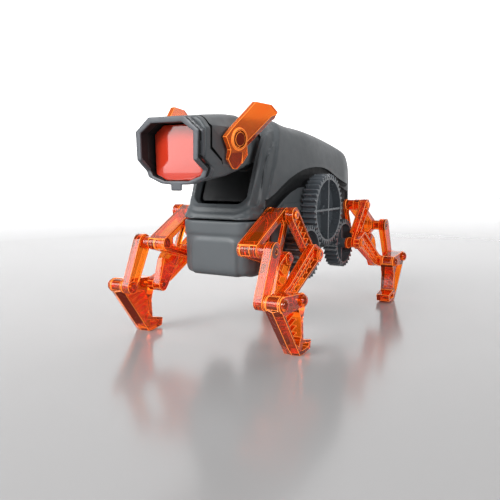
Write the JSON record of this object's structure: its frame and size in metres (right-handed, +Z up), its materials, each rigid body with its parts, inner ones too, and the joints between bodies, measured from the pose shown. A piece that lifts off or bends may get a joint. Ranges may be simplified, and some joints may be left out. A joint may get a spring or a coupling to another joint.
{
  "type": "four-legged walking robot",
  "caption": "Dog-like walking robot with a visor head, tilting ears, a grey shell and translucent linkage legs driven by side gears.",
  "frame": {"origin": "bottom centre of the whole robot's box, on the plane the feet stand on", "axes": "+X is the robot's left, +Y points to its rear, +Z is up"},
  "size_m": [0.1332, 0.2594, 0.1524],
  "materials": {
    "shell_plastic": "satin dark grey",
    "gear_plastic": "satin bluish grey",
    "orange_plastic": "translucent gloss",
    "lens": "gloss",
    "steel": "plain",
    "battery": "gloss"
  },
  "bodies": {
    "chassis": {"left_body_shell": "shell_plastic", "right_body_shell": "shell_plastic", "chest_cover": "shell_plastic", "battery_door": "shell_plastic", "battery_cell": "battery", "motor": "steel", "head_shell": "shell_plastic", "visor_bezel": "shell_plastic", "visor_lens": "lens", "front_hip_shaft": "orange_plastic", "rear_hip_shaft": "orange_plastic"},
    "main_gears": {"main_axle": "gear_plastic", "left_big_gear": "gear_plastic", "right_big_gear": "gear_plastic"},
    "motor_pinion": {"motor_pinion": "gear_plastic"},
    "power_switch": {"power_switch": "shell_plastic"},
    "left_ear": {"left_ear": "orange_plastic"},
    "right_ear": {"right_ear": "orange_plastic"},
    "front_cranks": {"front_crank_axle": "steel", "front_left_crank_gear": "gear_plastic", "front_left_crank": "orange_plastic", "front_right_crank_gear": "gear_plastic", "front_right_crank": "orange_plastic"},
    "front_left_upper_triangle": {"front_left_upper_triangle": "orange_plastic"},
    "front_left_lower_rocker": {"front_left_lower_rocker": "orange_plastic", "front_left_knee_pin": "orange_plastic"},
    "front_left_upper_rod": {"front_left_upper_rod": "orange_plastic"},
    "front_left_lower_rod": {"front_left_lower_rod": "orange_plastic"},
    "front_left_outer_link": {"front_left_outer_link": "orange_plastic", "front_left_ankle_pin": "orange_plastic"},
    "front_left_foot": {"front_left_foot": "orange_plastic"},
    "front_right_upper_triangle": {"front_right_upper_triangle": "orange_plastic"},
    "front_right_lower_rocker": {"front_right_lower_rocker": "orange_plastic", "front_right_knee_pin": "orange_plastic"},
    "front_right_upper_rod": {"front_right_upper_rod": "orange_plastic"},
    "front_right_lower_rod": {"front_right_lower_rod": "orange_plastic"},
    "front_right_outer_link": {"front_right_outer_link": "orange_plastic", "front_right_ankle_pin": "orange_plastic"},
    "front_right_foot": {"front_right_foot": "orange_plastic"},
    "rear_cranks": {"rear_crank_axle": "steel", "rear_left_crank_gear": "gear_plastic", "rear_left_crank": "orange_plastic", "rear_right_crank_gear": "gear_plastic", "rear_right_crank": "orange_plastic"},
    "rear_left_upper_triangle": {"rear_left_upper_triangle": "orange_plastic"},
    "rear_left_lower_rocker": {"rear_left_lower_rocker": "orange_plastic", "rear_left_knee_pin": "orange_plastic"},
    "rear_left_upper_rod": {"rear_left_upper_rod": "orange_plastic"},
    "rear_left_lower_rod": {"rear_left_lower_rod": "orange_plastic"},
    "rear_left_outer_link": {"rear_left_outer_link": "orange_plastic", "rear_left_ankle_pin": "orange_plastic"},
    "rear_left_foot": {"rear_left_foot": "orange_plastic"},
    "rear_right_upper_triangle": {"rear_right_upper_triangle": "orange_plastic"},
    "rear_right_lower_rocker": {"rear_right_lower_rocker": "orange_plastic", "rear_right_knee_pin": "orange_plastic"},
    "rear_right_upper_rod": {"rear_right_upper_rod": "orange_plastic"},
    "rear_right_lower_rod": {"rear_right_lower_rod": "orange_plastic"},
    "rear_right_outer_link": {"rear_right_outer_link": "orange_plastic", "rear_right_ankle_pin": "orange_plastic"},
    "rear_right_foot": {"rear_right_foot": "orange_plastic"}
  },
  "joints": [
    {"name": "main_gears_turn", "type": "hinge", "parent": "chassis", "child": "main_gears", "pos_m": [0, 0.00881, 0.0826], "axis": [1, 0, 0], "range_deg": [-7, 31.5]},
    {"name": "motor_pinion_turn", "type": "hinge", "parent": "chassis", "child": "motor_pinion", "pos_m": [0.007, 0.02727, 0.09809], "axis": [1, 0, 0], "range_deg": [-94.55, 21.05]},
    {"name": "front_cranks_turn", "type": "hinge", "parent": "chassis", "child": "front_cranks", "pos_m": [0, -0.02347, 0.05488], "axis": [1, 0, 0], "range_deg": [-45.05, 10.05]},
    {"name": "front_left_triangle_swing", "type": "hinge", "parent": "chassis", "child": "front_left_upper_triangle", "pos_m": [0.03435, -0.06679, 0.0557], "axis": [1, 0, 0], "range_deg": [-1.35, 5.89]},
    {"name": "front_left_rocker_swing", "type": "hinge", "parent": "chassis", "child": "front_left_lower_rocker", "pos_m": [0.04415, -0.06679, 0.0557], "axis": [1, 0, 0], "range_deg": [-3.73, 16.59]},
    {"name": "front_left_upper_rod_swing", "type": "hinge", "parent": "front_left_upper_triangle", "child": "front_left_upper_rod", "pos_m": [0.0447, -0.05869, 0.083], "axis": [1, 0, 0], "range_deg": [-1.07, 4.66]},
    {"name": "front_left_outer_link_swing", "type": "hinge", "parent": "front_left_upper_triangle", "child": "front_left_outer_link", "pos_m": [0.0496, -0.09419, 0.0637], "axis": [1, 0, 0], "range_deg": [-1.98, 8.72]},
    {"name": "front_left_lower_rod_swing", "type": "hinge", "parent": "front_left_lower_rocker", "child": "front_left_lower_rod", "pos_m": [0.05, -0.08239, 0.0337], "axis": [1, 0, 0], "range_deg": [-5.35, 1.23]},
    {"name": "front_left_foot_swing", "type": "hinge", "parent": "front_left_lower_rocker", "child": "front_left_foot", "pos_m": [0.0585, -0.08239, 0.0337], "axis": [1, 0, 0], "range_deg": [-12.69, 2.86]},
    {"name": "front_right_triangle_swing", "type": "hinge", "parent": "chassis", "child": "front_right_upper_triangle", "pos_m": [-0.03435, -0.06679, 0.0557], "axis": [1, 0, 0], "range_deg": [-1.35, 5.89]},
    {"name": "front_right_rocker_swing", "type": "hinge", "parent": "chassis", "child": "front_right_lower_rocker", "pos_m": [-0.04415, -0.06679, 0.0557], "axis": [1, 0, 0], "range_deg": [-3.73, 16.59]},
    {"name": "front_right_upper_rod_swing", "type": "hinge", "parent": "front_right_upper_triangle", "child": "front_right_upper_rod", "pos_m": [-0.0447, -0.05869, 0.083], "axis": [1, 0, 0], "range_deg": [-1.07, 4.66]},
    {"name": "front_right_outer_link_swing", "type": "hinge", "parent": "front_right_upper_triangle", "child": "front_right_outer_link", "pos_m": [-0.0496, -0.09419, 0.0637], "axis": [1, 0, 0], "range_deg": [-1.98, 8.72]},
    {"name": "front_right_lower_rod_swing", "type": "hinge", "parent": "front_right_lower_rocker", "child": "front_right_lower_rod", "pos_m": [-0.05, -0.08239, 0.0337], "axis": [1, 0, 0], "range_deg": [-5.35, 1.23]},
    {"name": "front_right_foot_swing", "type": "hinge", "parent": "front_right_lower_rocker", "child": "front_right_foot", "pos_m": [-0.0585, -0.08239, 0.0337], "axis": [1, 0, 0], "range_deg": [-12.69, 2.86]},
    {"name": "rear_cranks_turn", "type": "hinge", "parent": "chassis", "child": "rear_cranks", "pos_m": [0, 0.04109, 0.05488], "axis": [1, 0, 0], "range_deg": [-45.05, 10.05]},
    {"name": "rear_left_triangle_swing", "type": "hinge", "parent": "chassis", "child": "rear_left_upper_triangle", "pos_m": [0.03435, 0.08441, 0.0557], "axis": [1, 0, 0], "range_deg": [-2.92, 12.99]},
    {"name": "rear_left_rocker_swing", "type": "hinge", "parent": "chassis", "child": "rear_left_lower_rocker", "pos_m": [0.04415, 0.08441, 0.0557], "axis": [1, 0, 0], "range_deg": [-0.24, 0.92]},
    {"name": "rear_left_upper_rod_swing", "type": "hinge", "parent": "rear_left_upper_triangle", "child": "rear_left_upper_rod", "pos_m": [0.0447, 0.07631, 0.083], "axis": [1, 0, 0], "range_deg": [-5.13, 1.18]},
    {"name": "rear_left_outer_link_swing", "type": "hinge", "parent": "rear_left_upper_triangle", "child": "rear_left_outer_link", "pos_m": [0.0496, 0.11181, 0.0637], "axis": [1, 0, 0], "range_deg": [-9.86, 2.23]},
    {"name": "rear_left_lower_rod_swing", "type": "hinge", "parent": "rear_left_lower_rocker", "child": "rear_left_lower_rod", "pos_m": [0.05, 0.10001, 0.0337], "axis": [1, 0, 0], "range_deg": [-1.39, 6.09]},
    {"name": "rear_left_foot_swing", "type": "hinge", "parent": "rear_left_lower_rocker", "child": "rear_left_foot", "pos_m": [0.0585, 0.10001, 0.0337], "axis": [1, 0, 0], "range_deg": [-3.21, 14.28]},
    {"name": "rear_right_triangle_swing", "type": "hinge", "parent": "chassis", "child": "rear_right_upper_triangle", "pos_m": [-0.03435, 0.08441, 0.0557], "axis": [1, 0, 0], "range_deg": [-2.92, 12.99]},
    {"name": "rear_right_rocker_swing", "type": "hinge", "parent": "chassis", "child": "rear_right_lower_rocker", "pos_m": [-0.04415, 0.08441, 0.0557], "axis": [1, 0, 0], "range_deg": [-0.24, 0.92]},
    {"name": "rear_right_upper_rod_swing", "type": "hinge", "parent": "rear_right_upper_triangle", "child": "rear_right_upper_rod", "pos_m": [-0.0447, 0.07631, 0.083], "axis": [1, 0, 0], "range_deg": [-5.13, 1.18]},
    {"name": "rear_right_outer_link_swing", "type": "hinge", "parent": "rear_right_upper_triangle", "child": "rear_right_outer_link", "pos_m": [-0.0496, 0.11181, 0.0637], "axis": [1, 0, 0], "range_deg": [-9.86, 2.23]},
    {"name": "rear_right_lower_rod_swing", "type": "hinge", "parent": "rear_right_lower_rocker", "child": "rear_right_lower_rod", "pos_m": [-0.05, 0.10001, 0.0337], "axis": [1, 0, 0], "range_deg": [-1.39, 6.09]},
    {"name": "rear_right_foot_swing", "type": "hinge", "parent": "rear_right_lower_rocker", "child": "rear_right_foot", "pos_m": [-0.0585, 0.10001, 0.0337], "axis": [1, 0, 0], "range_deg": [-3.21, 14.28]},
    {"name": "left_ear_tilt", "type": "hinge", "parent": "chassis", "child": "left_ear", "pos_m": [0.0278, -0.09549, 0.1295], "axis": [0.9777, -0.1931, -0.0831], "range_deg": [-20, 70]},
    {"name": "right_ear_tilt", "type": "hinge", "parent": "chassis", "child": "right_ear", "pos_m": [-0.0278, -0.09549, 0.1295], "axis": [0.9777, 0.1931, 0.0831], "range_deg": [-20, 70]},
    {"name": "power_switch_slide", "type": "slide", "parent": "chassis", "child": "power_switch", "axis": [0, 1, 0], "range_m": [0, 0.0038]}
  ],
  "couplings": [
    {"joint": "motor_pinion_turn", "follows": "main_gears_turn", "ratio": -3},
    {"joint": "front_cranks_turn", "follows": "main_gears_turn", "ratio": -1.4286},
    {"joint": "front_left_triangle_swing", "follows": "main_gears_turn", "ratio": 0.1854},
    {"joint": "front_left_rocker_swing", "follows": "main_gears_turn", "ratio": 0.5251},
    {"joint": "front_left_upper_rod_swing", "follows": "main_gears_turn", "ratio": 0.1464},
    {"joint": "front_left_outer_link_swing", "follows": "main_gears_turn", "ratio": 0.2753},
    {"joint": "front_left_lower_rod_swing", "follows": "main_gears_turn", "ratio": -0.1684},
    {"joint": "front_left_foot_swing", "follows": "main_gears_turn", "ratio": -0.4013},
    {"joint": "front_right_triangle_swing", "follows": "main_gears_turn", "ratio": 0.1854},
    {"joint": "front_right_rocker_swing", "follows": "main_gears_turn", "ratio": 0.5251},
    {"joint": "front_right_upper_rod_swing", "follows": "main_gears_turn", "ratio": 0.1464},
    {"joint": "front_right_outer_link_swing", "follows": "main_gears_turn", "ratio": 0.2753},
    {"joint": "front_right_lower_rod_swing", "follows": "main_gears_turn", "ratio": -0.1684},
    {"joint": "front_right_foot_swing", "follows": "main_gears_turn", "ratio": -0.4013},
    {"joint": "rear_cranks_turn", "follows": "main_gears_turn", "ratio": -1.4286},
    {"joint": "rear_left_triangle_swing", "follows": "main_gears_turn", "ratio": 0.4107},
    {"joint": "rear_left_rocker_swing", "follows": "main_gears_turn", "ratio": 0.0276},
    {"joint": "rear_left_upper_rod_swing", "follows": "main_gears_turn", "ratio": -0.1613},
    {"joint": "rear_left_outer_link_swing", "follows": "main_gears_turn", "ratio": -0.3113},
    {"joint": "rear_left_lower_rod_swing", "follows": "main_gears_turn", "ratio": 0.1916},
    {"joint": "rear_left_foot_swing", "follows": "main_gears_turn", "ratio": 0.4516},
    {"joint": "rear_right_triangle_swing", "follows": "main_gears_turn", "ratio": 0.4107},
    {"joint": "rear_right_rocker_swing", "follows": "main_gears_turn", "ratio": 0.0276},
    {"joint": "rear_right_upper_rod_swing", "follows": "main_gears_turn", "ratio": -0.1613},
    {"joint": "rear_right_outer_link_swing", "follows": "main_gears_turn", "ratio": -0.3113},
    {"joint": "rear_right_lower_rod_swing", "follows": "main_gears_turn", "ratio": 0.1916},
    {"joint": "rear_right_foot_swing", "follows": "main_gears_turn", "ratio": 0.4516}
  ]
}
